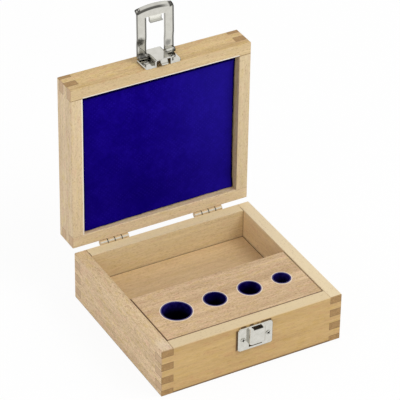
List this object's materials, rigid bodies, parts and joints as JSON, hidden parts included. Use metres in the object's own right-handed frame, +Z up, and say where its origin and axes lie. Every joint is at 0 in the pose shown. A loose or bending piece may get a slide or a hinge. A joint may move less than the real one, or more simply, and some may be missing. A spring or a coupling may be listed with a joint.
{
  "type": "calibration weight case",
  "caption": "Finger-jointed wooden case with a hinged lid, hasp and catch, velvet-lined pockets for knob weights, a rear compartment and a velvet pad in the lid.",
  "frame": {"origin": "on the base's underside, under the middle of the closed base", "axes": "+X to the right seen from the front, +Y to the back where the hinges are, +Z up"},
  "size_m": [0.13, 0.1456, 0.1953],
  "materials": {
    "beech": "clear satin varnish",
    "beech_panel": "clear satin varnish",
    "velvet": "short pile",
    "nickel": "nickel plated"
  },
  "bodies": {
    "base": {"base_front_board": "beech", "base_back_board": "beech", "base_left_board": "beech", "base_right_board": "beech", "base_bottom_panel": "beech_panel", "weight_block": "beech", "compartment_floor": "beech_panel", "pocket_lining_50g": "velvet", "pocket_lining_20g_left": "velvet", "pocket_lining_20g_right": "velvet", "pocket_lining_10g": "velvet", "catch_plate": "nickel", "catch_screws": "nickel", "hinge_base_leaf_left": "nickel", "hinge_base_leaf_right": "nickel", "hinge_base_screws": "nickel", "hinge_pin_left": "nickel", "hinge_pin_right": "nickel"},
    "lid": {"lid_front_board": "beech", "lid_back_board": "beech", "lid_left_board": "beech", "lid_right_board": "beech", "lid_top_panel": "beech_panel", "lid_backing_board": "beech_panel", "lid_velvet_pad": "velvet", "lid_plate": "nickel", "lid_plate_screws": "nickel", "hasp_pin": "nickel", "hinge_lid_leaf_left": "nickel", "hinge_lid_leaf_right": "nickel", "hinge_lid_screws": "nickel"},
    "hasp": {"hasp": "nickel"}
  },
  "joints": [
    {"name": "lid_hinge", "type": "hinge", "parent": "base", "child": "lid", "pos_m": [0, 0.0619, 0.035], "axis": [1, 0, 0], "range_deg": [0, 90]},
    {"name": "hasp_hinge", "type": "hinge", "parent": "lid", "child": "hasp", "pos_m": [0.001, 0.0721, 0.1606], "axis": [1, 0, 0], "range_deg": [0, 92]}
  ]
}
